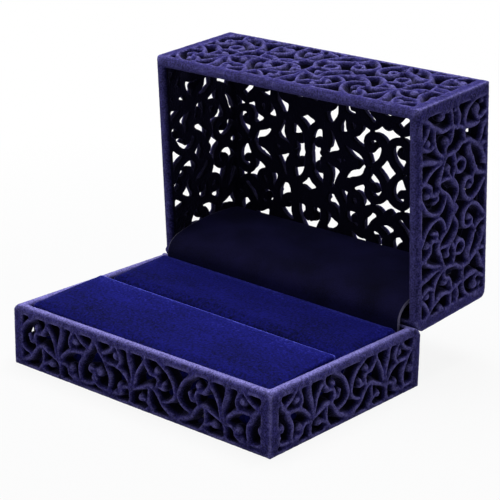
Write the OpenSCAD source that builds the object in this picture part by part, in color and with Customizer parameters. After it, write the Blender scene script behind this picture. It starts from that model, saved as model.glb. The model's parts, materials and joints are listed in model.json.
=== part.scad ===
// Ring display box with openwork scroll walls, a velvet insert and a hinged lid.
// Lengths in millimetres. X across the box, Y to the hinge side, Z up.
// The origin is the centre of the base's underside. The lid is drawn open, as displayed.

/* [Box] */

// Outside width of base and lid
box_w = 90; // [80:1:110]
// Outside depth, front to hinge side
box_d = 61; // [55:1:75]
// Height of the base, underside to rim
base_h = 17; // [15:0.5:22]
// Height of the lid, rim to top
lid_h = 32; // [26:0.5:38]
// Thickness of the openwork panels
wall_t = 3.2; // [2.8:0.1:3.6]
// Thickness of the base's floor
floor_t = 2.4; // [1.6:0.2:3]
// Opening angle of the lid in the display pose
lid_open = 86; // [0:1:88]

/* [Openwork] */

// Width of one scroll tile across the box, half the repeat of the pattern
tile_w = 28.9; // [24:0.1:32]
// Width of one scroll tile on the sides and the lid's top
side_tile_w = 28; // [24:0.1:32]
// Solid border round each panel
border = 2.3; // [1.6:0.1:3]
// Factor on the width of every scroll
scroll_k = 1.1; // [0.8:0.05:1.25]
// Length of the chords along a scroll
chord = 1.5; // [0.8:0.1:2.5]

/* [Insert] */

// Width of the ring slot between the pads
slot_w = 4.6; // [4.4:0.1:6]
// Distance from the box's middle back to the slot's front face
slot_y = -0.6; // [-4:0.1:4]
// Height of the pads' crowns below the rim
pad_drop = 0.3; // [0.2:0.1:2]
// Thickness of the board under the pads
board_t = 1.2; // [0.8:0.1:2]
// Gap between the insert and the walls
pad_gap = 0.4; // [0.2:0.1:1]

/* [Hinge] */

// Length of the hinge's barrel
hinge_w = 50; // [30:1:70]
// Thickness of the leaves
leaf_t = 0.6; // [0.5:0.1:0.8]
// Width of each leaf, from the pin
leaf_w = 10; // [7:0.5:14]
// Radius of the pin
pin_r = 0.5; // [0.4:0.1:0.6]
// Distance from the hinge side's outer face in to the pin
axis_in = 2.2; // [2.1:0.05:2.3]
// Gap between the two rims when the lid is shut
rim_gap = 0.3; // [0.2:0.1:0.5]

/* [Hidden] */

bead_r = wall_t / 2;         // rim rolled to a bead
edge_r = 3.5;                // rolled hinge edges, which stop the lid against the base
top_r = 2.4;                 // rounding along the lid's hinge-side top edge
half_w = box_w / 2;
half_d = box_d / 2;
in_w = box_w - 2 * wall_t;
in_d = box_d - 2 * wall_t;
axis_y = half_d - axis_in;
axis_z = base_h + rim_gap / 2;
knuckle_r = wall_t - axis_in;
knuckles = 5;
knuckle_gap = 0.2;
run_fit = 0.05;              // radial clearance of the lid's knuckles on the pin
notch_h = 2.4;
root_in = 0.7;               // how far a knuckle's root reaches under the barrel
root_h = 2.1;
top_border = 0.9;            // border of the top panel, which fits between the walls
phase_x = tile_w / 2;        // where the scrolls mirror, across the box
phase_y = 0.6;               // and from front to back
draw_w = 28;                 // size of the tile as drawn below
draw_h = 31;
base_rows = 17;              // how much of its height the base shows
far = 200;
lining_t = 1;
lining_w = in_w - 1.4;

// One tile of the scrollwork: x from a mirror line to the next, y from the rim inwards.
// Each scroll is a smooth line through [x, y, width].
scrolls = [
    // Lower C-scroll, its right-hand partner and the stem over both
    [[5.2, 12.6, 1.1], [2.6, 11.9, 1.2], [0.7, 9.9, 1.6], [1.1, 7, 1.5], [2.7, 4.5, 1.5],
        [4.8, 2.9, 1.8], [7, 1.4, 2]],
    [[-1, 15.9, 2.2], [1.6, 15.2, 2.3], [4.4, 13.6, 1.9], [6, 11.6, 1.6], [7.4, 10, 1.7],
        [9.2, 9.5, 1.7], [11, 10.4, 1.7], [13, 11.2, 1.4], [15.4, 12.2, 1.4]],
    [[15.2, 12.6, 1.4], [14, 10, 1.3], [13.4, 7.4, 1.3], [12.2, 5.2, 1.4], [10.9, 3.4, 1.6],
        [10.3, 1.4, 1.8]],
    // Trefoil inside the C-scroll
    [[7.3, 10, 1.3], [6.2, 8.1, 1.6], [6.7, 6.3, 1.5], [8.5, 6.1, 1.7], [9.9, 4.7, 1.6],
        [10.8, 2.8, 1.4]],
    [[6.4, 8.3, 1.5], [5, 8.9, 2], [4.1, 7.3, 1.3]],
    // Arch across the middle and its leaf
    [[-1, 16.9, 1.2], [1.6, 16, 1.4], [3.8, 17.5, 1.4], [5.6, 17.7, 1.6], [7.1, 16.7, 2.4],
        [8.6, 15.2, 2.1], [9.3, 13.2, 1.5], [9.1, 9.8, 1.2]],
    [[9, 14.7, 1.4], [10.6, 13.6, 1.4], [12, 13.6, 1.6]],
    // Ring scroll in two halves
    [[15.8, 15.7, 1.4], [13.6, 16.5, 1.5], [11.8, 16.7, 1.5], [10.1, 17.4, 1.6],
        [9.5, 19.1, 1.6], [10.5, 20.6, 1.5]],
    [[9.9, 20.1, 1.5], [11.6, 20.9, 1.5], [12.9, 20, 1.5], [13.2, 18.2, 1.4], [12.5, 16.4, 1.3]],
    [[8.7, 15.2, 1.3], [10.4, 16.2, 1.3], [12, 16.6, 1.3]],
    // Upper spiral
    [[8, 30.6, 1.8], [5.4, 29.8, 1.6], [3.4, 28.4, 1.5], [1.8, 26.8, 1.5], [0.8, 24.7, 1.8],
        [0.9, 22.7, 1.8],
        [2.4, 21, 1.6], [4.5, 20.4, 1.6], [6.2, 21, 1.6], [6.9, 22.5, 1.5], [6.3, 24, 1.4],
        [5, 24.3, 1.3], [4.2, 23.2, 1.2]],
    // Stem from the top that swells into a leaf
    [[6.2, 31, 1.8], [6.8, 28, 1.8], [8, 25.9, 2], [10, 24.9, 1.9], [12, 24.1, 2.3],
        [13.8, 22.9, 2.8], [15.4, 22.7, 2.4], [17.4, 23.2, 1.4]],
    [[6, 23.9, 1.3], [9, 25.9, 1.3]],
    // Spine of the tile, from the top to the rim at the next mirror line
    [[9.4, 29.6, 1.8], [12.2, 28.8, 1.7], [14.3, 27.3, 1.7], [15.8, 25.3, 1.7],
        [17, 23.1, 1.8], [17.6, 21.1, 1.9], [17.3, 19.2, 1.8], [16.1, 17.4, 1.6],
        [15.6, 15.4, 1.6], [15.6, 13.2, 1.7], [15.7, 11.2, 1.9], [16.9, 9.5, 1.6],
        [18.5, 8.2, 1.6], [20.4, 7.4, 1.7], [22.4, 7.3, 1.7], [24.4, 7, 1.8],
        [26, 5.4, 1.8], [27.2, 3.6, 1.8], [28.4, 0.8, 1.8]],
    // Arc to the upper right, with an upright leaf and a comma scroll
    [[17.4, 20.6, 1.7], [19.6, 20.3, 1.6], [22, 20.4, 1.6], [24.4, 20.9, 1.6],
        [26.2, 22.2, 1.6], [27.3, 24, 1.6], [27.9, 26.2, 1.7], [28, 30.8, 1.8]],
    [[21.8, 20.4, 1.3], [21.2, 22.6, 2.3], [20.9, 24.8, 2.4], [21.1, 26.8, 1.3]],
    [[24.4, 31, 1.5], [23.2, 29.6, 1.5], [22.2, 27.8, 1.5], [22.6, 26, 1.5],
        [24.2, 25.6, 1.6]],
    [[15.2, 26, 1.5], [16.3, 27.6, 1.5], [18, 28.3, 1.6], [19.8, 29, 1.6],
        [21.4, 30.6, 1.6]],
    [[14.6, 27, 1.8], [15, 30.8, 2]],
    // Right-hand leaf and the stem that hangs from the arc
    [[20.9, 20.5, 1.4], [21.9, 18.6, 1.4], [22.3, 16.8, 1.4], [23, 14.8, 1.5],
        [22.6, 12.6, 1.8], [22.7, 10.6, 2], [23.8, 8.6, 1.9], [25, 6.4, 1.6]],
    [[22, 17.2, 1.6], [24.2, 18, 2.6], [26.4, 17.5, 2.5], [28.8, 16.2, 2]],
    // Flower between the spine and that stem
    [[15.6, 12, 1.6], [17.4, 12.2, 1.4], [18.6, 12.9, 1.8], [18.8, 14.2, 1.8],
        [20.4, 14.9, 2.1], [21.8, 15.3, 1.5], [23.2, 15, 1.4]],
    // Arc and hook at the next mirror line
    [[22.8, 14.9, 1.4], [25, 15, 1.4], [27, 14.6, 1.4], [28.6, 13, 1.4]],
    [[28.4, 14, 1.3], [28.3, 11.6, 1.5], [27.3, 10.3, 1.4], [26.6, 11.2, 1.2]],
    // Shoots next to the rim
    [[20, 7.6, 1.5], [19, 5.8, 1.5], [19.3, 4, 1.6], [20.6, 1.6, 1.8]],
    [[20.8, 1.4, 1.6], [23, 3.9, 1.6], [25, 5, 1.5], [26.4, 5.2, 1.4]],
    [[15.4, 11.4, 1.2], [14.9, 9, 1.6], [15.4, 6.6, 2.2], [16, 4.4, 2.3], [16.4, 1.4, 2.2]]
];

// Round ends and buds, [x, y, radius]
buds = [[4.9, 8.8, 1.2], [6.8, 4.9, 1.1], [8.8, 6, 1], [12, 13.6, 1.2], [4.3, 23.2, 1],
    [24.7, 26.1, 1.6], [19.3, 12.8, 1.4], [20.6, 15, 1.2], [26.5, 10.8, 1.4], [20.8, 4.8, 1.3],
    [0, 15.9, 1.4], [0, 17.4, 1.1], [10.6, 3.4, 1], [25, 18, 1.4]];

// Point t of the way from b to c on a smooth line through a, b, c, d
function spline(a, b, c, d, t) =
    (2 * b + (c - a) * t + (2 * a - 5 * b + 4 * c - d) * t ^ 2
        + (3 * b - a - 3 * c + d) * t ^ 3) / 2;

function smooth(p, step) = [
    for (i = [0 : len(p) - 2])
        let (n = max(1, round(norm([p[i + 1].x - p[i].x, p[i + 1].y - p[i].y]) / step)))
        for (k = [0 : n - 1])
            spline(p[max(i - 1, 0)], p[i], p[i + 1], p[min(i + 2, len(p) - 1)], k / n),
    p[len(p) - 1]];

// Unit vector square to the line q at its point i
function square_to(q, i) =
    let (a = q[max(i - 1, 0)], b = q[min(i + 1, len(q) - 1)])
        [a.y - b.y, b.x - a.x] / norm([b.x - a.x, b.y - a.y]);

module ribbon(line, k) {
    polygon([
        for (i = [0 : len(line) - 1])
            [line[i].x, line[i].y] + square_to(line, i) * line[i].z * k / 2,
        for (i = [len(line) - 1 : -1 : 0])
            [line[i].x, line[i].y] - square_to(line, i) * line[i].z * k / 2]);
}

// The tile stretched by s = [sx, sy]; the scrolls keep their widths
module tile(s) {
    for (line = scrolls)
        ribbon(smooth([for (p = line) [p.x * s.x, p.y * s.y, p.z]], chord), scroll_k);
    for (b = buds)
        translate([b.x * s.x, b.y * s.y])
            circle(r = b.z * scroll_k, $fn = 10);
}

// Scrollwork on both sides of the mirror line at x = 0, far enough for any panel
module scrollwork(s) {
    for (k = [-2 : 2], m = [0, 1])
        translate([2 * k * s.x * draw_w, 0])
            mirror([m, 0])
                tile(s);
}

// Openwork of a panel: w wide, from height z0 to z1 above the rim, mirror line at x = line.
// The borders are rim side and far side; the children are cut off.
module openwork(w, z0, z1, line, b, s) {
    offset(delta = -0.2)
        offset(delta = 0.2)
            difference() {
                translate([-w / 2, z0])
                    square([w, z1 - z0]);
                difference() {
                    translate([-w / 2 + border, z0 + b[0]])
                        square([w - 2 * border, z1 - z0 - b[0] - b[1]]);
                    translate([line, 0])
                        scrollwork(s);
                }
                children();
            }
}

// Shell frame: the rim is at z = 0 and the shell rises to z = h.

// Outer form of a shell with its rolled rim and hinge edges
module envelope(h, r_top) {
    intersection() {
        translate([0, half_d, 0])
            rotate([90, 0, 0])
                linear_extrude(box_d)
                    difference() {
                        translate([-half_w, 0])
                            square([box_w, h]);
                        for (m = [0, 1])
                            mirror([m, 0])
                                translate([half_w, 0])
                                    corner_cut(bead_r);
                    }
        translate([-half_w, 0, 0])
            rotate([90, 0, 90])
                linear_extrude(box_w)
                    difference() {
                        translate([-half_d, 0])
                            square([box_d, h]);
                        translate([half_d, 0])
                            corner_cut(edge_r);
                        mirror([1, 0])
                            translate([half_d, 0])
                                corner_cut(bead_r);
                        if (r_top > 0)
                            translate([half_d, h])
                                mirror([0, 1])
                                    corner_cut(r_top);
                    }
    }
}

// What a radius takes off a corner at the origin whose solid lies to the left and above
module corner_cut(r) {
    difference() {
        translate([-r, -1])
            square([r + 1, r + 1]);
        translate([-r, r])
            circle(r = r, $fn = 64);
    }
}

// Upper half of the rim's bead along X, centred on y = 0
module bead(len) {
    translate([-len / 2, 0, 0])
        rotate([90, 0, 90])
            linear_extrude(len)
                intersection() {
                    translate([0, bead_r])
                        circle(r = bead_r, $fn = 64);
                    translate([-bead_r, 0])
                        square([wall_t, bead_r]);
                }
}

// What 45 degree mitres take off both ends of a wall whose inner face is at y = 0
module mitres(len, side) {
    rotate([0, 0, side])
        for (m = [0, 1])
            mirror([m, 0, 0])
                translate([len / 2, 0, -1])
                    linear_extrude(far)
                        polygon([[-wall_t - 1, 1], [1, -wall_t - 1], [1, 1]]);
}

// rows is the height of the drawn tile that the wall shows
module front_wall(h, rows) {
    difference() {
        union() {
            intersection() {
                envelope(h, 0);
                translate([0, -half_d + bead_r, 0])
                    bead(box_w);
            }
            translate([0, -half_d + wall_t, 0])
                rotate([90, 0, 0])
                    linear_extrude(wall_t)
                        openwork(box_w, bead_r, h, phase_x, [border - bead_r, border - bead_r],
                            [tile_w / draw_w, h / rows]);
        }
        translate([0, -half_d + wall_t, 0])
            mitres(box_w, 0);
    }
}

module side_wall(h, rows, side, r_top) {
    difference() {
        union() {
            intersection() {
                envelope(h, 0);
                translate([side * (half_w - bead_r), 0, 0])
                    rotate([0, 0, 90])
                        bead(box_d);
            }
            translate([side > 0 ? half_w - wall_t : -half_w, 0, 0])
                rotate([90, 0, 90])
                    linear_extrude(wall_t)
                        openwork(box_d, bead_r, h, phase_y, [border - bead_r, border - bead_r],
                            [side_tile_w / draw_w, h / rows]) {
                            translate([half_d, 0])
                                corner_cut(edge_r);
                            if (r_top > 0)
                                translate([half_d, h])
                                    mirror([0, 1])
                                        corner_cut(r_top);
                        }
        }
        translate([side * (half_w - wall_t), 0, 0])
            mitres(box_d, side * 90);
    }
}

module rear_wall(h, rows, r_top) {
    z0 = notch_h + border;
    difference() {
        union() {
            intersection() {
                envelope(h, r_top);
                translate([-half_w, half_d - wall_t, 0])
                    cube([box_w, wall_t, z0]);
            }
            translate([0, half_d, 0])
                rotate([90, 0, 0])
                    linear_extrude(wall_t)
                        openwork(box_w, z0, h - r_top, phase_x,
                            [0, r_top > 0 ? 0 : border - bead_r], [tile_w / draw_w, h / rows]);
            if (r_top > 0)
                intersection() {
                    envelope(h, r_top);
                    translate([-half_w, half_d - wall_t, h - r_top])
                        cube([box_w, wall_t, r_top]);
                }
        }
        translate([-hinge_w / 2 - 0.5, 0, -1])
            cube([hinge_w + 1, far, notch_h + 1]);
        translate([0, half_d - wall_t, 0])
            mitres(box_w, 180);
    }
}

// Leaf of the hinge: own = 0 has the outer knuckles, own = 1 the ones between.
// The pin's axis is at the origin and the plate hangs on the inner face of the wall.
module leaf(own, bore) {
    pitch = hinge_w / knuckles;
    difference() {
        union() {
            for (i = [own : 2 : knuckles - 1])
                translate([-hinge_w / 2 + i * pitch + knuckle_gap / 2, 0, 0]) {
                    rotate([0, 90, 0])
                        cylinder(r = knuckle_r, h = pitch - knuckle_gap, $fn = 48);
                    translate([0, -knuckle_r - leaf_t, 0])
                        cube([pitch - knuckle_gap, leaf_t + root_in, root_h]);
                }
            translate([-hinge_w / 2, -knuckle_r - leaf_t, root_h])
                cube([hinge_w, leaf_t, leaf_w - root_h]);
        }
        translate([-hinge_w / 2 - 1, 0, 0])
            rotate([0, 90, 0])
                cylinder(r = bore, h = hinge_w + 2, $fn = 48);
    }
}

// Pad with rounded shoulders: length along X, a crowned top and a flat bottom.
// Rings of the same outline follow X, drawn in towards both ends.
function ends(len, r) = [
    for (s = [-1, 1], k = (s < 0 ? [0 : 4] : [4 : -1 : 0]))
        [s * (len / 2 - r * (1 - cos(k * 22.5))), r * (1 - sin(k * 22.5))]];

function pad_outline(y0, y1, z0, z1, crown, r0, r1, draw) = [
    [y0 + draw, z0], [y1 - draw, z0],
    for (k = [0 : 4])
        [y1 - draw - r1 * (1 - cos(k * 22.5)), z1 - draw - r1 * (1 - sin(k * 22.5))],
    for (k = [1 : 7])
        let (f = k / 8)
            [y1 - draw - r1 + (y0 - y1 + 2 * draw + r0 + r1) * f,
                z1 - draw + crown * 4 * f * (1 - f)],
    for (k = [4 : -1 : 0])
        [y0 + draw + r0 * (1 - cos(k * 22.5)), z1 - draw - r0 * (1 - sin(k * 22.5))]];

module pad(y0, y1, z0, z1, crown, r0, r1) {
    len = in_w - 2 * pad_gap;
    rings = ends(len, 2);
    n = len(pad_outline(y0, y1, z0, z1, crown, r0, r1, 0));
    polyhedron(
        [for (e = rings, p = pad_outline(y0, y1, z0, z1, crown, r0, r1, e.y)) [e.x, p.x, p.y]],
        concat(
            [for (i = [0 : len(rings) - 2], j = [0 : n - 1], t = [0, 1])
                t == 0 ? [i * n + j, (i + 1) * n + j, (i + 1) * n + (j + 1) % n]
                    : [i * n + j, (i + 1) * n + (j + 1) % n, i * n + (j + 1) % n]],
            [[for (j = [0 : n - 1]) j]],
            [[for (j = [n - 1 : -1 : 0]) (len(rings) - 1) * n + j]]));
}

// Places a shell drawn rim down as the base, rim up
module as_base() {
    translate([0, 0, base_h])
        mirror([0, 0, 1])
            children();
}

// Places a shell drawn rim down as the lid, turned open about the pin
module as_lid() {
    translate([0, axis_y, axis_z])
        rotate([-lid_open, 0, 0])
            translate([0, -axis_y, rim_gap / 2])
                children();
}

module base_floor() {
    color([0.07, 0.06, 0.3])
        translate([-in_w / 2, -in_d / 2, 0])
            cube([in_w, in_d, floor_t]);
}

module base_front_wall() {
    color([0.08, 0.07, 0.35])
        as_base()
            front_wall(base_h, base_rows);
}

module base_rear_wall() {
    color([0.08, 0.07, 0.35])
        as_base()
            rear_wall(base_h, base_rows, 0);
}

module base_left_wall() {
    color([0.08, 0.07, 0.35])
        as_base()
            side_wall(base_h, base_rows, -1, 0);
}

module base_right_wall() {
    color([0.08, 0.07, 0.35])
        as_base()
            side_wall(base_h, base_rows, 1, 0);
}

module insert_board() {
    color([0.15, 0.15, 0.2])
        translate([-in_w / 2 + pad_gap, -in_d / 2 + pad_gap, floor_t])
            cube([in_w - 2 * pad_gap, in_d - 2 * pad_gap, board_t]);
}

module front_pad() {
    color([0.06, 0.08, 0.5])
        pad(-in_d / 2 + pad_gap, slot_y, floor_t + board_t, base_h - pad_drop - 0.4, 0.4, 1.6, 1.2);
}

module rear_pad() {
    color([0.06, 0.08, 0.5])
        pad(slot_y + slot_w, in_d / 2 - leaf_t - lining_t - 0.5, floor_t + board_t,
            base_h - pad_drop - 0.6, 0.6, 2.4, 2.2);
}

module base_leaf() {
    color([0.7, 0.7, 0.72])
        translate([0, axis_y, axis_z])
            mirror([0, 0, 1])
                leaf(0, pin_r);
}

module hinge_pin() {
    color([0.75, 0.75, 0.77])
        translate([-hinge_w / 2, axis_y, axis_z])
            rotate([0, 90, 0])
                cylinder(r = pin_r, h = hinge_w, $fn = 48);
}

module lid_leaf() {
    color([0.7, 0.7, 0.72])
        translate([0, axis_y, axis_z])
            rotate([-lid_open, 0, 0])
                leaf(1, pin_r + run_fit);
}

module lid_front_wall() {
    color([0.08, 0.07, 0.35])
        as_lid()
            front_wall(lid_h, draw_h);
}

module lid_rear_wall() {
    color([0.08, 0.07, 0.35])
        as_lid()
            rear_wall(lid_h, draw_h, top_r);
}

module lid_left_wall() {
    color([0.08, 0.07, 0.35])
        as_lid()
            side_wall(lid_h, draw_h, -1, top_r);
}

module lid_right_wall() {
    color([0.08, 0.07, 0.35])
        as_lid()
            side_wall(lid_h, draw_h, 1, top_r);
}

module lid_top_panel() {
    color([0.08, 0.07, 0.35])
        as_lid()
            translate([0, 0, lid_h - wall_t])
                linear_extrude(wall_t)
                    offset(delta = -0.2)
                        offset(delta = 0.2)
                            difference() {
                                square([in_w, in_d], center = true);
                                difference() {
                                    square([in_w - 2 * top_border, in_d - 2 * top_border],
                                        center = true);
                                    for (m = [0, 1])
                                        mirror([0, m])
                                            translate([side_tile_w / 2, -half_d])
                                                intersection() {
                                                    scrollwork([side_tile_w / draw_w,
                                                        lid_h / draw_h]);
                                                    translate([-far, 0])
                                                        square([2 * far, half_d]);
                                                }
                                }
                            }
}

// Velvet-faced flap that hides the hinge: up from behind the rear pad, over the
// barrel and back to the lid's top panel. Its middle line as [y, z, thickness].
lining_line = [[25.9, 6, 1], [25.9, 12, 1], [25.9, 17, 1], [26.3, 20, 1], [28.6, 22.3, 1],
    [34, 23.9, 1], [42, 25.1, 1], [50, 25.4, 1], [56.5, 25, 1]];

module hinge_lining() {
    color([0.05, 0.05, 0.25])
        translate([-lining_w / 2, 0, 0])
            rotate([90, 0, 90])
                linear_extrude(lining_w)
                    ribbon(smooth(lining_line, 2 * chord), lining_t);
}

base_floor();
base_front_wall();
base_rear_wall();
base_left_wall();
base_right_wall();
insert_board();
front_pad();
rear_pad();
base_leaf();
hinge_pin();
lid_leaf();
lid_front_wall();
lid_rear_wall();
lid_left_wall();
lid_right_wall();
lid_top_panel();
hinge_lining();
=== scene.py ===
import json
import math

import bmesh
import bpy
import numpy as np
from mathutils import Matrix, Vector


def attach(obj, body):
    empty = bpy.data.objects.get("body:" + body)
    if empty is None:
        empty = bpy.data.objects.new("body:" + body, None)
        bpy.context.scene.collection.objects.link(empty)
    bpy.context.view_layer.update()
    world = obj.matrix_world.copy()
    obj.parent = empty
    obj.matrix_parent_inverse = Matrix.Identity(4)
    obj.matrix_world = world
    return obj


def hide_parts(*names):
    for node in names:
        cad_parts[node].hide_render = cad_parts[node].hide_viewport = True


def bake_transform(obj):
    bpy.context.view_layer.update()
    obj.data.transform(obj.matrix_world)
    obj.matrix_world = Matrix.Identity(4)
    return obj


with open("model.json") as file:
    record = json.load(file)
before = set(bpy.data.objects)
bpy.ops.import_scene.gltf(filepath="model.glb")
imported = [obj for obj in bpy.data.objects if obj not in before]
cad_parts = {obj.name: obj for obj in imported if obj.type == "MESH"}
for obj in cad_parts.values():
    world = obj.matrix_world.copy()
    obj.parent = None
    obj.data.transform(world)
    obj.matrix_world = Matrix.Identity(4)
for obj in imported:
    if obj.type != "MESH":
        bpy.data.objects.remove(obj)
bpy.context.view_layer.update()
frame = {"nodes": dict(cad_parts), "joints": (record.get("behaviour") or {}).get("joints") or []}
scene = bpy.context.scene
scene.view_settings.view_transform = "Standard"
MM = 0.001

# ---- Camera ----
# A long lens from the front right, a little above the lid's middle, as in the photograph.
# Its lens and turns come from a fit to the edges of the base and the lid.
PIXELS, FOCAL_PIXELS = 500, 1741.5
eye = Vector((285.7, -321.9, 180.6)) * MM
yaw, pitch, roll = math.radians(40.39), math.radians(18.68), math.radians(0.88)
camera = bpy.data.objects.new("camera", bpy.data.cameras.new("camera"))
camera.matrix_world = (
    Matrix.Translation(eye) @ Matrix.Rotation(yaw, 4, "Z")
    @ Matrix.Rotation(math.pi / 2 - pitch, 4, "X") @ Matrix.Rotation(roll, 4, "Z"))
camera.data.sensor_width = 36
camera.data.lens = 36 * FOCAL_PIXELS / PIXELS
camera.data.clip_start = 0.02
scene.collection.objects.link(camera)
scene.camera = camera


# ---- Table and light ----
# A white table under a large soft lamp overhead, a weaker one at the left front and a pale room.
class Wire:
    """A socket in a material's nodes, so that shader maths reads as Python expressions."""

    def __init__(self, tree, socket=None):
        self.tree, self.socket = tree, socket

    def add(self, kind, settings=(), out=0, **inputs):
        """Adds a node, with its settings first, then the values or links of its sockets."""
        node = self.tree.nodes.new("ShaderNode" + kind)
        for name, value in dict(settings).items():
            if name == "stops":
                ramp = node.color_ramp.elements
                while len(ramp) < len(value):
                    ramp.new(0.5)
                for stop, (place, colour) in zip(ramp, value):
                    stop.position, stop.color = place, colour
            else:
                setattr(node, name, value)
        for name, value in inputs.items():
            name = name.strip("_").replace("_", " ")
            socket = node.inputs[int(name) if name.isdigit() else name]
            if isinstance(value, Wire):
                self.tree.links.new(value.socket, socket)
            else:
                socket.default_value = value
        return Wire(self.tree, node.outputs[out] if node.outputs else None)

    def maths(self, operation, a, b):
        return self.add("Math", {"operation": operation}, _0=a, _1=b)

    def __add__(self, other):
        return self.maths("ADD", self, other)

    def __mul__(self, other):
        return self.maths("MULTIPLY", self, other)

    __radd__, __rmul__ = __add__, __mul__

    def colours(self, dark, light):
        """From one colour to another as this value goes from 0 to 1."""
        return self.add("Mix", {"data_type": "RGBA"}, 2, Factor=self,
                        _6=(*dark, 1), _7=(*light, 1))


def material(name):
    """A new material: (the material, a wire that adds nodes to it, its object coordinates)."""
    made = bpy.data.materials.new(name)
    made.use_nodes = True
    made.node_tree.nodes.clear()
    start = Wire(made.node_tree)
    return made, start, start.add("TexCoord", out=3)


def surface(start, shader):
    """Ends a material with its shader."""
    start.add("OutputMaterial", Surface=shader)


white, start, place = material("white_table")
# It looks white to the camera, but faintly shaded near the box, and lights the box as grey
seen = (start.add("LightPath", out=0) + start.add("LightPath", out=3)
        + start.add("LightPath", out=6))
away = start.add("VectorMath", {"operation": "LENGTH"}, 1, _0=place)
fade = start.add("MapRange", Value=away, From_Min=0.1, From_Max=0.25, To_Min=0.9, To_Max=1.0)
surface(start, start.add(
    "MixShader", _0=seen * fade,
    _1=start.add("BsdfDiffuse", Color=(0.45, 0.45, 0.46, 1)),
    _2=start.add("Emission", Color=(1, 1, 1, 1), Strength=1.0)))

bpy.ops.mesh.primitive_plane_add(size=6, location=(0, 0, -0.00002))
table = bpy.context.object
table.name = "table"
table.data.materials.append(white)

world = bpy.data.worlds.new("room")
scene.world = world
world.use_nodes = True
world.node_tree.nodes["Background"].inputs["Color"].default_value = (1, 1, 1, 1)
world.node_tree.nodes["Background"].inputs["Strength"].default_value = 0.24


def lamp(name, at, power):
    """A square soft lamp at a place in metres, turned to the middle of the box."""
    light = bpy.data.lights.new(name, "AREA")
    light.shape, light.size, light.energy = "SQUARE", 0.5, power
    hung = bpy.data.objects.new(name, light)
    hung.location = at
    aim = Vector((0, 0, 0.03)) - Vector(at)
    hung.rotation_euler = aim.to_track_quat("-Z", "Y").to_euler()
    scene.collection.objects.link(hung)


lamp("overhead", (-0.05, 0.12, 0.75), 9)
lamp("front_left", (-0.6, -0.7, 0.5), 1)


# ---- Flock ----
# Short blue fibres, blown on to the glued shells: matt, with a violet-blue sheen and a painted
# highlight along edges, and an uneven nap. Deep between the scrolls and inside the shells the
# colour is darkened as painted shade.
flock, start, place = material("blue_flock")
nap = start.add("TexNoise", Vector=place, Scale=2300.0, Detail=2.0, Roughness=0.6)
patch = start.add("TexNoise", Vector=place, Scale=300.0, Detail=2.0)
tips = start.add("MapRange", Value=nap * 0.8 + patch * 0.2, From_Min=0.38, From_Max=0.66)
# Painted shade: the colour darkens with the depth inside the shell, to near black in the recesses
painted_recess_shade = start.add("MapRange", From_Min=0.04, From_Max=0.42, To_Min=1.0, To_Max=0.0,
                 Value=start.add("Attribute", {"attribute_name": "inside"}, 2))
# Painted highlight: proud edges and the rim turn a pale violet-blue
rubbed = start.add("Attribute", {"attribute_name": "rubbed"}, 2) * (tips * 0.7 + 0.3) * painted_recess_shade
blue = ((tips * 0.85 + 0.15) * painted_recess_shade).colours((0.003, 0.0026, 0.010), (0.044, 0.038, 0.205))
surface(start, start.add(
    "BsdfPrincipled",
    Base_Color=start.add("Mix", {"data_type": "RGBA"}, 2, Factor=rubbed, _6=blue,
                         _7=(0.26, 0.24, 0.62, 1)),
    Roughness=0.95, Specular_IOR_Level=0.05, Sheen_Weight=0.3, Sheen_Roughness=0.35,
    Sheen_Tint=(0.42, 0.38, 0.95, 1),
    Normal=start.add("Bump", Height=nap, Strength=0.9, Distance=0.0003)))


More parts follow.
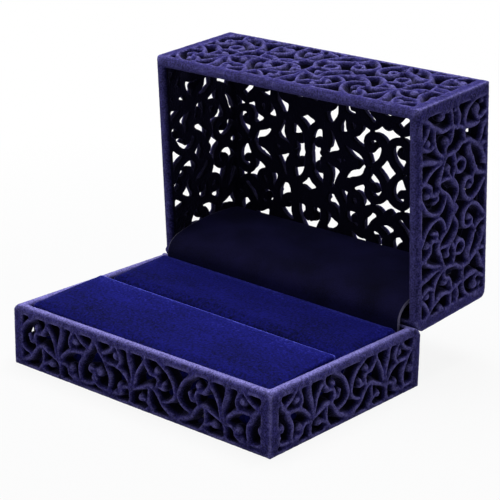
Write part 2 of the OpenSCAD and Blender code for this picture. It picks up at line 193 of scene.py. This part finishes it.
# ---- Scrollwork of the shells ----
# Each shell is moulded as openwork panels: scrolls of rounded ribs inside a plain frame with a
# rolled rim. One tile is mirrored along every panel; x runs from a mirror line to the next and
# y from the rim inwards, in millimetres, with each rib's width.
scrolls = [
    # Lower C-scroll, its right-hand partner and the stem over both
    [[5.2, 12.6, 1.1], [2.6, 11.9, 1.2], [0.7, 9.9, 1.6], [1.1, 7, 1.5], [2.7, 4.5, 1.5],
        [4.8, 2.9, 1.8], [7, 1.4, 2]],
    [[-1, 15.9, 2.2], [1.6, 15.2, 2.3], [4.4, 13.6, 1.9], [6, 11.6, 1.6], [7.4, 10, 1.7],
        [9.2, 9.5, 1.7], [11, 10.4, 1.7], [13, 11.2, 1.4], [15.4, 12.2, 1.4]],
    [[15.2, 12.6, 1.4], [14, 10, 1.3], [13.4, 7.4, 1.3], [12.2, 5.2, 1.4], [10.9, 3.4, 1.6],
        [10.3, 1.4, 1.8]],
    # Trefoil inside the C-scroll
    [[7.3, 10, 1.3], [6.2, 8.1, 1.6], [6.7, 6.3, 1.5], [8.5, 6.1, 1.7], [9.9, 4.7, 1.6],
        [10.8, 2.8, 1.4]],
    [[6.4, 8.3, 1.5], [5, 8.9, 2], [4.1, 7.3, 1.3]],
    # Arch across the middle and its leaf
    [[-1, 16.9, 1.2], [1.6, 16, 1.4], [3.8, 17.5, 1.4], [5.6, 17.7, 1.6], [7.1, 16.7, 2.4],
        [8.6, 15.2, 2.1], [9.3, 13.2, 1.5], [9.1, 9.8, 1.2]],
    [[9, 14.7, 1.4], [10.6, 13.6, 1.4], [12, 13.6, 1.6]],
    # Ring scroll in two halves
    [[15.8, 15.7, 1.4], [13.6, 16.5, 1.5], [11.8, 16.7, 1.5], [10.1, 17.4, 1.6],
        [9.5, 19.1, 1.6], [10.5, 20.6, 1.5]],
    [[9.9, 20.1, 1.5], [11.6, 20.9, 1.5], [12.9, 20, 1.5], [13.2, 18.2, 1.4], [12.5, 16.4, 1.3]],
    [[8.7, 15.2, 1.3], [10.4, 16.2, 1.3], [12, 16.6, 1.3]],
    # Upper spiral
    [[8, 30.6, 1.8], [5.4, 29.8, 1.6], [3.4, 28.4, 1.5], [1.8, 26.8, 1.5], [0.8, 24.7, 1.8],
        [0.9, 22.7, 1.8], [2.4, 21, 1.6], [4.5, 20.4, 1.6], [6.2, 21, 1.6], [6.9, 22.5, 1.5],
        [6.3, 24, 1.4], [5, 24.3, 1.3], [4.2, 23.2, 1.2]],
    # Stem from the top that swells into a leaf
    [[6.2, 31, 1.8], [6.8, 28, 1.8], [8, 25.9, 2], [10, 24.9, 1.9], [12, 24.1, 2.3],
        [13.8, 22.9, 2.8], [15.4, 22.7, 2.4], [17.4, 23.2, 1.4]],
    [[6, 23.9, 1.3], [9, 25.9, 1.3]],
    # Spine of the tile, from the top to the rim at the next mirror line
    [[9.4, 29.6, 1.8], [12.2, 28.8, 1.7], [14.3, 27.3, 1.7], [15.8, 25.3, 1.7],
        [17, 23.1, 1.8], [17.6, 21.1, 1.9], [17.3, 19.2, 1.8], [16.1, 17.4, 1.6],
        [15.6, 15.4, 1.6], [15.6, 13.2, 1.7], [15.7, 11.2, 1.9], [16.9, 9.5, 1.6],
        [18.5, 8.2, 1.6], [20.4, 7.4, 1.7], [22.4, 7.3, 1.7], [24.4, 7, 1.8],
        [26, 5.4, 1.8], [27.2, 3.6, 1.8], [28.4, 0.8, 1.8]],
    # Arc to the upper right, with an upright leaf and a comma scroll
    [[17.4, 20.6, 1.7], [19.6, 20.3, 1.6], [22, 20.4, 1.6], [24.4, 20.9, 1.6],
        [26.2, 22.2, 1.6], [27.3, 24, 1.6], [27.9, 26.2, 1.7], [28, 30.8, 1.8]],
    [[21.8, 20.4, 1.3], [21.2, 22.6, 2.3], [20.9, 24.8, 2.4], [21.1, 26.8, 1.3]],
    [[24.4, 31, 1.5], [23.2, 29.6, 1.5], [22.2, 27.8, 1.5], [22.6, 26, 1.5],
        [24.2, 25.6, 1.6]],
    [[15.2, 26, 1.5], [16.3, 27.6, 1.5], [18, 28.3, 1.6], [19.8, 29, 1.6],
        [21.4, 30.6, 1.6]],
    [[14.6, 27, 1.8], [15, 30.8, 2]],
    # Right-hand leaf and the stem that hangs from the arc
    [[20.9, 20.5, 1.4], [21.9, 18.6, 1.4], [22.3, 16.8, 1.4], [23, 14.8, 1.5],
        [22.6, 12.6, 1.8], [22.7, 10.6, 2], [23.8, 8.6, 1.9], [25, 6.4, 1.6]],
    [[22, 17.2, 1.6], [24.2, 18, 2.6], [26.4, 17.5, 2.5], [28.8, 16.2, 2]],
    # Flower between the spine and that stem
    [[15.6, 12, 1.6], [17.4, 12.2, 1.4], [18.6, 12.9, 1.8], [18.8, 14.2, 1.8],
        [20.4, 14.9, 2.1], [21.8, 15.3, 1.5], [23.2, 15, 1.4]],
    # Arc and hook at the next mirror line
    [[22.8, 14.9, 1.4], [25, 15, 1.4], [27, 14.6, 1.4], [28.6, 13, 1.4]],
    [[28.4, 14, 1.3], [28.3, 11.6, 1.5], [27.3, 10.3, 1.4], [26.6, 11.2, 1.2]],
    # Shoots next to the rim
    [[20, 7.6, 1.5], [19, 5.8, 1.5], [19.3, 4, 1.6], [20.6, 1.6, 1.8]],
    [[20.8, 1.4, 1.6], [23, 3.9, 1.6], [25, 5, 1.5], [26.4, 5.2, 1.4]],
    [[15.4, 11.4, 1.2], [14.9, 9, 1.6], [15.4, 6.6, 2.2], [16, 4.4, 2.3], [16.4, 1.4, 2.2]]
]
# Balls on the scrolls' tips and crossings: x, y, radius
buds = [[4.9, 8.8, 1.2], [6.8, 4.9, 1.1], [8.8, 6, 1], [12, 13.6, 1.2], [4.3, 23.2, 1],
    [24.7, 26.1, 1.6], [19.3, 12.8, 1.4], [20.6, 15, 1.2], [26.5, 10.8, 1.4], [20.8, 4.8, 1.3],
    [0, 15.9, 1.4], [0, 17.4, 1.1], [10.6, 3.4, 1], [25, 18, 1.4]]
HALF_W, HALF_D = 45.0, 30.5     # half the box's width and depth
THICK, BORDER = 3.2, 2.3        # of a panel, and of the plain border round it
TOP_BORDER = 0.9                # border where the walls meet the lid's top or the floor
TILE, TILE_ACROSS = 28.0, 28.9  # width of the tile as drawn, and as stretched across the box
FULLER = 1.08                   # the ribs' width against the drawn one
BACK_ROLL = 3.5                 # radius of the rolled hinge edges
BARREL, NOTCH = 25.5, 2.4       # half length and depth of the hinge's notch
LAP = 0.3                       # how far a bar runs into its neighbour


class Solid:
    """Closed bodies in a shell's coordinates: millimetres, the rim at z = 0 and the rest above."""

    def __init__(self):
        self.points, self.faces = [], []

    def loft(self, rings, closed=False):
        """Skins rings of equally many points, with an end face at both ends unless closed."""
        first, count = len(self.points), len(rings[0])
        self.points += [tuple(p) for ring in rings for p in ring]
        for i in range(len(rings) - (0 if closed else 1)):
            a, b = first + i * count, first + (i + 1) % len(rings) * count
            self.faces += [(a + j, a + (j + 1) % count, b + (j + 1) % count, b + j)
                           for j in range(count)]
        if not closed:
            self.faces.append(tuple(range(first + count - 1, first - 1, -1)))
            last = first + (len(rings) - 1) * count
            self.faces.append(tuple(range(last, last + count)))

    def bar(self, a, b):
        """A box between two opposite corners."""
        (x0, x1), (y0, y1), (z0, z1) = (sorted(p) for p in zip(a, b))
        self.loft([[(x0, y0, z), (x1, y0, z), (x1, y1, z), (x0, y1, z)] for z in (z0, z1)])


def smooth_line(line, step):
    """A smooth line through given points, cut into steps."""
    p = np.array(line)
    made = []
    for i in range(len(p) - 1):
        a, b, c, d = p[max(i - 1, 0)], p[i], p[i + 1], p[min(i + 2, len(p) - 1)]
        for t in np.arange(0, 1, 1 / max(1, round(np.linalg.norm((c - b)[:2]) / step))):
            made.append((2 * b + (c - a) * t + (2 * a - 5 * b + 4 * c - d) * t ** 2
                         + (3 * b - a - 3 * c + d) * t ** 3) / 2)
    return made + [p[-1]]


# A rib's cross-section: (depth below the outer face, share of the width, widening), so that it
# is rounded outside and broad at its foot, as the mould leaves it
profile = [(-0.15, 0.2, 0), (0.05, 0.42, 0), (0.35, 0.6, 0), (0.8, 0.72, 0), (1.6, 0.86, 0.05),
           (2.4, 1, 0.28), (3.0, 1, 0.45), (THICK, 0.85, 0.3)]
profile += [(n, -share, -more) for n, share, more in reversed(profile)]


def rib(solid, line, put):
    """One scroll as a rounded rib along a line of (u, v, width), its ends drawn in."""
    line = [np.array(p) for p in line]
    for end, beyond in ((0, 1), (-1, -2)):
        step = line[end][:2] - line[beyond][:2]
        tip = line[end].copy()
        tip[:2] += step / np.linalg.norm(step) * 0.32 * tip[2]
        tip[2] *= 0.55
        line.insert(0 if end == 0 else len(line), tip)
    rings = []
    for i, (u, v, width) in enumerate(line):
        along = line[min(i + 1, len(line) - 1)][:2] - line[max(i - 1, 0)][:2]
        side = np.array((-along[1], along[0])) / np.linalg.norm(along)
        rings.append([put(*(np.array((u, v)) + side * (width / 2 * share + more)), n)
                      for n, share, more in profile])
    solid.loft(rings)


def scrollwork(solid, put, mirror_line, half_width, low, high, stretch):
    """Fills one panel: u to half_width on both sides, v from low to high above the rim. The
    tile is mirrored at u = mirror_line and stretched by two factors."""
    def inside(p):
        return abs(p[0]) <= half_width and low <= p[1] <= high

    lines = [smooth_line(line, 0.7) for line in scrolls]        # in steps of 0.7 mm
    for start_u, way in [(2 * TILE * k, way) for k in range(-3, 4) for way in (-1, 1)]:
        def in_panel(p):
            return np.array((mirror_line + (start_u + way * p[0]) * stretch[0],
                             p[1] * stretch[1], p[2] * FULLER))

        for line in lines:
            run = []
            for p in [in_panel(p) for p in line] + [None]:
                if p is not None and inside(p):
                    run.append(p)
                else:
                    if len(run) > 1:
                        rib(solid, run, put)
                    run = []
        for u, v, r in (in_panel(bud) for bud in buds):
            if inside((u, v)):
                ball = []
                for t in (math.pi * i / 8 for i in range(1, 8)):
                    n = THICK / 2 - (THICK / 2 + 0.15) * math.cos(t)
                    ball.append([put(u + r * math.sin(t) * math.cos(2 * math.pi * j / 12),
                                     v + r * math.sin(t) * math.sin(2 * math.pi * j / 12), n)
                                 for j in range(12)])
                solid.loft(ball)


def shell(height, rows, top_roll):
    """All panels and frame bars of one shell, which shows so many rows of the drawn tile;
    top_roll is the rounding of its rear top edge, and 0 leaves its top open."""
    solid = Solid()
    w, d, h, t, b = HALF_W, HALF_D, height, THICK, BORDER
    across, along = (TILE_ACROSS / TILE, h / rows), (1, h / rows)
    # The walls' scrolls, which run into the frame, but not into its rounded rear edges
    reach, front_row, rear_row, side_mirror = 1.4, 1.9, 4, 0.6
    scrollwork(solid, lambda u, v, n: (u, -d + n, v), TILE_ACROSS / 2, w - reach,
               front_row, h - TOP_BORDER, across)
    scrollwork(solid, lambda u, v, n: (u, d - n, v), TILE_ACROSS / 2, w - reach,
               rear_row, h - TOP_BORDER - top_roll * 0.7, across)
    for side in (-1, 1):
        scrollwork(solid, lambda u, v, n: (side * (w - n), u, v), side_mirror, d - reach,
                   front_row, h - TOP_BORDER, along)
        # Corner posts, an angle of two bars, and the top of the side wall
        for y0, y1, y2, z0, z1 in ((-d, -d + b, -d + t, t / 2, h),
                                   (d, d - b, d - t, b, h - top_roll)):
            solid.bar((side * w, y0, z0), (side * (w - b), y2, z1))
            solid.bar((side * w, y0, z0), (side * (w - t), y1, z1))
        solid.bar((side * w, -d, h - TOP_BORDER), (side * (w - t), d - top_roll, h))
    solid.bar((-w, -d, h - TOP_BORDER), (w, -d + t, h))
    # Rolled rim on three sides, mitred at the front corners and run into the rear corners
    bead = [(t / 2 - t / 2 * math.cos(math.pi * k / 12),
             t / 2 - t / 2 * math.sin(math.pi * k / 12)) for k in range(13)] + [(t, b), (0, b)]
    solid.loft([[(sx * (w - n), y if y > 0 else y + n, z) for n, z in bead]
                for sx, y in ((-1, d - t + LAP), (-1, -d), (1, -d), (1, d - t + LAP))])
    # Hinge side: a rolled edge outwards, left out where the hinge's barrel lies
    edge = [(BACK_ROLL * (math.sin(math.pi * k / 20) - 1),
             BACK_ROLL * (1 - math.cos(math.pi * k / 20))) for k in range(1, 11)]
    foot = [(0, NOTCH + b), (-t, NOTCH + b)]
    for side in (-1, 1):
        solid.loft([[(x, d + n, z) for n, z in [(-t, 0.02)] + edge[1:] + foot]
                    for x in sorted((side * w, side * BARREL))])
    above = [(-t, NOTCH), (BACK_ROLL * (math.sin(math.acos(1 - NOTCH / BACK_ROLL)) - 1), NOTCH)]
    above += [p for p in edge if p[1] > NOTCH + 0.1] + foot
    solid.loft([[(x, d + n, z) for n, z in above] for x in (-w, w)])
    if not top_roll:
        solid.bar((-w, d - t, h - TOP_BORDER), (w, d, h))
        return solid
    # Top: its rounded rear edge, its scrolls, mirrored at the middle, and its frame
    rounded = [(-t, h)] + [(top_roll * (math.sin(math.pi * k / 12) - 1),
                            h - top_roll * (1 - math.cos(math.pi * k / 12)))
                           for k in range(7)] + [(-t, h - top_roll)]
    solid.loft([[(x, d + n, z) for n, z in rounded] for x in (-w, w)])
    for side in (-1, 1):
        scrollwork(solid, lambda u, v, n: (u, side * (v - d), h - n), TILE / 2, w - reach,
                   1.2, d, along)
        solid.bar((-w + t - LAP, side * (d - t + LAP), h - t),
                  (w - t + LAP, side * (d - t - TOP_BORDER), h))
        solid.bar((side * (w - t + LAP), -d + t, h - t), (side * (w - t - TOP_BORDER), d - t, h))
    return solid


def flocked(name, solid, height, top_roll, rim_highlight):
    """The shell's bodies fused and softened as under flock, with each point's depth inside, for
    painted shade, and how far it stands proud, for a painted highlight on proud edges and on the
    rim, as strong there as the last argument."""
    mesh = bpy.data.meshes.new(name)
    mesh.from_pydata(solid.points, [], solid.faces)
    made = bpy.data.objects.new(name, mesh)
    scene.collection.objects.link(made)
    fuse = made.modifiers.new("fuse", "REMESH")
    fuse.mode, fuse.voxel_size = "VOXEL", 0.34
    soften = made.modifiers.new("soften", "SMOOTH")
    soften.factor, soften.iterations = 0.5, 2
    tufts = bpy.data.textures.new("tufts", "CLOUDS")
    tufts.noise_scale, tufts.noise_depth = 0.7, 2
    uneven = made.modifiers.new("uneven", "DISPLACE")
    uneven.texture, uneven.strength, uneven.mid_level = tufts, 0.14, 0.5
    made.modifiers.new("lighter", "DECIMATE").ratio = 0.62
    modified = made.evaluated_get(bpy.context.evaluated_depsgraph_get())
    fused = bpy.data.meshes.new_from_object(modified)
    bpy.data.objects.remove(made)

    count = len(fused.vertices)
    co, normal = np.empty(count * 3), np.empty(count * 3)
    ends = np.empty(len(fused.edges) * 2, int)
    fused.vertices.foreach_get("co", co)
    fused.vertices.foreach_get("normal", normal)
    fused.edges.foreach_get("vertices", ends)
    co, normal, ends = co.reshape(-1, 3), normal.reshape(-1, 3), ends.reshape(-1, 2)
    here = np.concatenate((ends[:, 0], ends[:, 1]))
    there = np.concatenate((ends[:, 1], ends[:, 0]))
    beside = np.maximum(np.bincount(here, minlength=count), 1)

    def around(values):
        """The mean of a value over each point's neighbours."""
        return np.bincount(here, values[there], minlength=count) / beside

    proud = sum(normal[:, i] * (co[:, i] - around(co[:, i])) for i in range(3))
    for _ in range(3):
        proud = (proud + around(proud)) / 2
    x, y, z = co.T
    depth = np.minimum.reduce([HALF_W - abs(x), HALF_D - abs(y), z]
                              + ([height - z] if top_roll else []))
    # Painted highlight where it stands more than 0.01 mm proud, and over the rim's first 0.8 mm
    rubbed = np.maximum(np.minimum((proud - 0.01) / 0.06, 0.55), rim_highlight * (1 - z / 0.8))
    for kept, values in (("inside", depth / THICK), ("rubbed", rubbed)):
        fused.attributes.new(kept, "FLOAT", "POINT").data.foreach_set(
            "value", np.clip(values, 0, 1).astype(np.float32))

    # The flock stands out of the mould by no more than this, over its flat faces and its two
    # rounded rear edges, and by nothing under the base
    nap = 0.1
    co = np.clip(co, (-HALF_W - nap, -HALF_D - nap, -nap),
                 (HALF_W + nap, HALF_D + nap, height + (nap if top_roll else 0)))
    for roll, middle, way in ((BACK_ROLL, BACK_ROLL, -1), (top_roll, height - top_roll, 1)):
        out = np.stack((co[:, 1] - HALF_D + roll, way * (co[:, 2] - middle)), 1)
        far = np.hypot(*out.T)
        past = (out.min(1) > 0) & (far > roll + nap) & (roll > 0)
        out[past] *= ((roll + nap) / far[past])[:, None]
        co[past, 1], co[past, 2] = HALF_D - roll + out[past, 0], middle + way * out[past, 1]
    fused.vertices.foreach_set("co", co.ravel())
    return fused


def wall(fused, name, cuts, placed, body, node):
    """One panel of a shell, cut at the planes where it was bonded to its neighbours. Each cut
    is a point and the direction of what falls away; placed takes the shell into the scene."""
    work = bmesh.new()
    work.from_mesh(fused)
    for at, out in cuts:
        cut = bmesh.ops.bisect_plane(work, geom=work.verts[:] + work.edges[:] + work.faces[:],
                                     plane_co=at, plane_no=out, clear_outer=True)
        rim = [e for e in cut["geom_cut"] if isinstance(e, bmesh.types.BMEdge)]
        bmesh.ops.triangle_fill(work, edges=rim, use_beauty=False)
        for e in rim:
            e.smooth = False
    bmesh.ops.recalc_face_normals(work, faces=work.faces)
    work.transform(placed)
    if placed.determinant() < 0:
        bmesh.ops.reverse_faces(work, faces=work.faces)
    mesh = bpy.data.meshes.new(name)
    work.to_mesh(mesh)
    work.free()
    for polygon in mesh.polygons:
        polygon.use_smooth = True
    mesh.materials.append(flock)
    piece = bpy.data.objects.new(name, mesh)
    scene.collection.objects.link(piece)
    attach(piece, body)
    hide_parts(node)


# The walls are mitred at the corners; the lid's top lies between their inner faces
inner_w, inner_d = HALF_W - THICK - 0.35, HALF_D - THICK - 0.35
corner = {(sx, sy): (sx * HALF_W, sy * HALF_D, 0) for sx in (-1, 1) for sy in (-1, 1)}
sides = {
    "front": [((0, -inner_d, 0), (0, 1, 0)), (corner[1, -1], (1, 1, 0)),
              (corner[-1, -1], (-1, 1, 0))],
    "rear": [((0, inner_d, 0), (0, -1, 0)), (corner[1, 1], (1, -1, 0)),
             (corner[-1, 1], (-1, -1, 0))],
    "left": [((-inner_w, 0, 0), (1, 0, 0)), (corner[-1, -1], (1, -1, 0)),
             (corner[-1, 1], (1, 1, 0))],
    "right": [((inner_w, 0, 0), (-1, 0, 0)), (corner[1, -1], (-1, -1, 0)),
              (corner[1, 1], (-1, 1, 0))],
}
centre = [((0, -inner_d, 0), (0, -1, 0)), ((0, inner_d, 0), (0, 1, 0)),
          ((-inner_w, 0, 0), (-1, 0, 0)), ((inner_w, 0, 0), (1, 0, 0))]

# Base: the shell stands rim up and shows the lowest rows of the tile
base_height = 17
up = Matrix.Diagonal((MM, MM, -MM, 1))
up.translation = (0, 0, base_height * MM)
fused = flocked("base_shell", shell(base_height, 17, 0), base_height, 0, 1.0)
for name, cuts in sides.items():
    wall(fused, "base_%s_scrolls" % name, cuts, up, "base", "base_%s_wall" % name)

# Lid: turned open about the hinge pin, which lies below the lid's rim by half the rims' gap
lid_height, top_roll, lid_open, half_gap = 32, 2.4, 86, 0.15
hinge = frame["joints"][0]["pos_m"]
opened = (Matrix.Translation(hinge) @ Matrix.Rotation(math.radians(-lid_open), 4, "X")
          @ Matrix.Translation((0, -hinge[1], half_gap * MM)) @ Matrix.Scale(MM, 4))
fused = flocked("lid_shell", shell(lid_height, 31, top_roll), lid_height, top_roll, 0.2)
for name, cuts in sides.items():
    wall(fused, "lid_%s_scrolls" % name, cuts, opened, "lid", "lid_%s_wall" % name)
wall(fused, "lid_top_scrolls", centre, opened, "lid", "lid_top_panel")


# ---- Floor of the base and the board on it ----
# The floor closes the base between its walls and is flocked with them. A fibreboard lies on it
# and carries the pads.
def finished(node, finish):
    """Gives a CAD node its material."""
    slots = frame["nodes"][node].data.materials
    slots.clear()
    slots.append(finish)


finished("base_floor", flock)

fibre, start, place = material("grey_board")
chips = start.add("TexNoise", Vector=place, Scale=900.0, Detail=4.0, Roughness=0.7)
surface(start, start.add(
    "BsdfPrincipled",
    Base_Color=chips.colours((0.05, 0.05, 0.07), (0.16, 0.16, 0.2)), Roughness=0.85,
    Normal=start.add("Bump", Height=chips, Strength=0.4, Distance=0.0002)))
finished("insert_board", fibre)


# ---- Pads ----
# Two foam blocks wrapped in royal blue velvet and glued to the board, with the ring slot
# between them. The velvet is pulled tight, so their tops are crowned and their edges rolled.
velvet, start, place = material("royal_velvet")
pile = start.add("TexNoise", Vector=place, Scale=1500.0, Detail=3.0, Roughness=0.7)
brushed = start.add("TexNoise", Vector=start.add("Mapping", Vector=place, Scale=(60, 160, 60)),
                    Scale=1.0, Detail=3.0)
lie = start.add("MapRange", Value=pile * 0.75 + brushed * 0.25, From_Min=0.38, From_Max=0.62)
# Painted highlight: lighter towards the rear edges and on the raised left end, up to the ramp's
# pale top
bent = start.add("Attribute", {"attribute_name": "bent"}, 2)
blues = [(0, (0.0012, 0.0014, 0.02, 1)), (0.5, (0.006, 0.0065, 0.13, 1)),
         (1, (0.08, 0.09, 0.55, 1))]
surface(start, start.add(
    "BsdfPrincipled",
    Base_Color=start.add("ValToRGB", {"stops": blues}, Fac=lie * 0.45 + bent * 0.8),
    Roughness=0.9, Specular_IOR_Level=0.05, Sheen_Weight=0.2, Sheen_Roughness=0.3,
    Sheen_Tint=(0.2, 0.25, 1, 1),
    Normal=start.add("Bump", Height=pile, Strength=0.5, Distance=0.0002)))

BIG = 20        # the pads are swollen at twenty times their size, where cloth settles well


def swell(pad, glued, most):
    """Presses the wrapped foam out a little under its velvet, at most by so many metres."""
    glue = pad.vertex_groups.new(name="glued")
    glue.add([v.index for v in pad.data.vertices if glued(v.co)], 1, "REPLACE")
    cloth = pad.modifiers.new("velvet", "CLOTH")
    cloth.settings.use_pressure = True
    cloth.settings.uniform_pressure_force = 4
    cloth.settings.effector_weights.gravity = 0
    cloth.settings.vertex_group_mass = "glued"
    cloth.settings.quality = 5
    last = 20
    cloth.point_cache.frame_start, cloth.point_cache.frame_end = 1, last
    for step in range(1, last + 1):
        scene.frame_set(step)
        bpy.context.view_layer.update()
    swollen = pad.evaluated_get(bpy.context.evaluated_depsgraph_get()).data
    moves = [(b.co - a.co) for a, b in zip(pad.data.vertices, swollen.vertices)]
    pad.modifiers.remove(cloth)
    for v, move in zip(pad.data.vertices, moves):
        v.co += move * min(1, most / max(move.length, 1e-9))
    scene.frame_set(1)


def wrapped_pad(name, node, low, high, climb, back_roll):
    """A velvet pad between two corners, with rolled upper edges, that climbs to its rear by so
    many millimetres."""
    bpy.ops.object.select_all(action="DESELECT")
    bpy.ops.mesh.primitive_cube_add(size=1)
    pad = bpy.context.object
    pad.name = name
    low, high = Vector(low) * MM * BIG, Vector(high) * MM * BIG
    for v in pad.data.vertices:
        v.co = [low[i] if v.co[i] < 0 else high[i] for i in range(3)]
    shape = bmesh.new()
    shape.from_mesh(pad.data)
    for axis, at, roll in ((1, high.y, back_roll), (1, low.y, 0.8),
                           (0, low.x, 0.5), (0, high.x, 0.5)):
        edges = [e for e in shape.edges
                 if all(abs(v.co.z - high.z) < 1e-6 and abs(v.co[axis] - at) < 1e-6
                        for v in e.verts)]
        bmesh.ops.bevel(shape, geom=edges, offset=roll * MM * BIG, segments=5, profile=0.5,
                        affect="EDGES")
    shape.to_mesh(pad.data)
    shape.free()
    even = pad.modifiers.new("even", "REMESH")
    even.mode, even.voxel_size = "VOXEL", 0.9 * MM * BIG
    bpy.ops.object.modifier_apply(modifier=even.name)
    # The foam's own shape, before the velvet is pulled over it: crowned, higher at the
    # rear and glued with its left end a little up
    crown, tilt = 1.4, 0.016
    for v in pad.data.vertices:
        f = min(1, max(0, (v.co.y - low.y) / (high.y - low.y)))
        rise = max(0, (v.co.z - low.z) / (high.z - low.z))
        v.co.z += MM * BIG * rise * (climb * f + crown * f * (1 - f)) - tilt * v.co.x * rise
    swell(pad, lambda co: co.z < low.z + 0.6 * MM * BIG, 0.35 * MM * BIG)
    for v in pad.data.vertices:
        v.co /= BIG
    finer = pad.modifiers.new("finer", "SUBSURF")
    finer.levels = finer.render_levels = 1
    bpy.ops.object.modifier_apply(modifier=finer.name)
    # Painted highlight: the colour is lighter towards the rear, in a line along the rear edge
    # and on the raised left end, where the velvet catches the light
    bent = pad.data.attributes.new("bent", "FLOAT", "POINT")
    for v, kept in zip(pad.data.vertices, bent.data):
        f = (v.co.y * BIG - low.y) / (high.y - low.y)
        end = (-v.co.x / MM - 40.8) / 0.5
        kept.value = max(0.3 * max(0, f) ** 3, min(1, (f - 0.93) / 0.03), 0.8 * min(1, end))
    bpy.ops.object.shade_smooth()
    pad.data.materials.append(velvet)
    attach(pad, "base")
    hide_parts(node)


# They stand on the board and end just inside the walls, with the slot between them
wrapped_pad("front_velvet_pad", "front_pad", (-41.7, -27.2, 3.6), (41.7, -0.4, 16.4), 1.5, 0.6)
wrapped_pad("rear_velvet_pad", "rear_pad", (-41.7, 3.0, 3.6), (41.7, 25.1, 16.2), 1.4, 0.7)


# ---- Hinge flap ----
# Navy velvet on thin card, glued to the lid. It hides the hinge, rises out of the gap behind
# the rear pad, goes over the barrel and lies along the lid's rear wall up to its top.
napped, start, place = material("navy_velvet")
pile = start.add("TexNoise", Vector=place, Scale=3000.0, Detail=3.0, Roughness=0.6)
wave = start.add("TexNoise", Vector=place, Scale=90.0, Detail=2.0)
across = start.add("Math", {"operation": "ABSOLUTE"}, _0=start.add("SeparateXYZ", Vector=place))
# The raw side edges are pale
raw = start.add("MapRange", Value=across, From_Min=0.04086, From_Max=0.04098)
nap = start.add("MapRange", Value=pile * 0.5 + wave * 0.5, From_Min=0.38, From_Max=0.62)
surface(start, start.add(
    "BsdfPrincipled",
    Base_Color=start.add("Mix", {"data_type": "RGBA"}, 2, Factor=raw * pile,
                         _6=nap.colours((0.0015, 0.0015, 0.01), (0.007, 0.006, 0.04)),
                         _7=(0.35, 0.33, 0.5, 1)),
    Roughness=0.9, Specular_IOR_Level=0.08, Sheen_Weight=0.12, Sheen_Roughness=0.4,
    Sheen_Tint=(0.2, 0.2, 0.9, 1),
    Normal=start.add("Bump", Height=pile, Strength=0.5, Distance=0.0002)))

# Its middle line, as (y, z) in millimetres, and rows of points along it
run = smooth_line([(25.9, 6), (25.9, 12), (25.9, 17), (26.3, 20), (28.6, 22.3), (34, 23.9),
                   (42, 25.1), (50, 25.4), (56.4, 25)], 0.8)
half_width, columns = 41.0, 90
points = [(MM * half_width * (2 * i / columns - 1), MM * y, MM * z)
          for y, z in run for i in range(columns + 1)]
row = columns + 1
faces = [(r * row + i, r * row + i + 1, (r + 1) * row + i + 1, (r + 1) * row + i)
         for r in range(len(run) - 1) for i in range(columns)]
flap_mesh = bpy.data.meshes.new("hinge_flap")
flap_mesh.from_pydata(points, [], faces)
flap = bpy.data.objects.new("hinge_flap", flap_mesh)
scene.collection.objects.link(flap)
bpy.ops.object.select_all(action="DESELECT")
flap.select_set(True)
bpy.context.view_layer.objects.active = flap
thick = flap.modifiers.new("card", "SOLIDIFY")
thick.thickness, thick.offset = 0.9 * MM, 0
bpy.ops.object.modifier_apply(modifier=thick.name)
bpy.ops.object.shade_smooth_by_angle(angle=math.radians(40))
flap.data.materials.append(napped)
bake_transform(flap)
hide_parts("hinge_lining")


# ---- Hinge ----
# Two stamped steel leaves with rolled knuckles on a drawn steel pin.
steel, start, place = material("hinge_steel")
grain = start.add("TexNoise", Vector=start.add("Mapping", Vector=place, Scale=(300, 4000, 4000)),
                  Scale=1.0, Detail=2.0)
surface(start, start.add(
    "BsdfPrincipled",
    Base_Color=grain.colours((0.42, 0.42, 0.44), (0.62, 0.62, 0.64)), Metallic=1.0,
    Roughness=grain * 0.25 + 0.25,
    Normal=start.add("Bump", Height=grain, Strength=0.15, Distance=0.0001)))
for node in ("base_leaf", "lid_leaf", "hinge_pin"):
    finished(node, steel)
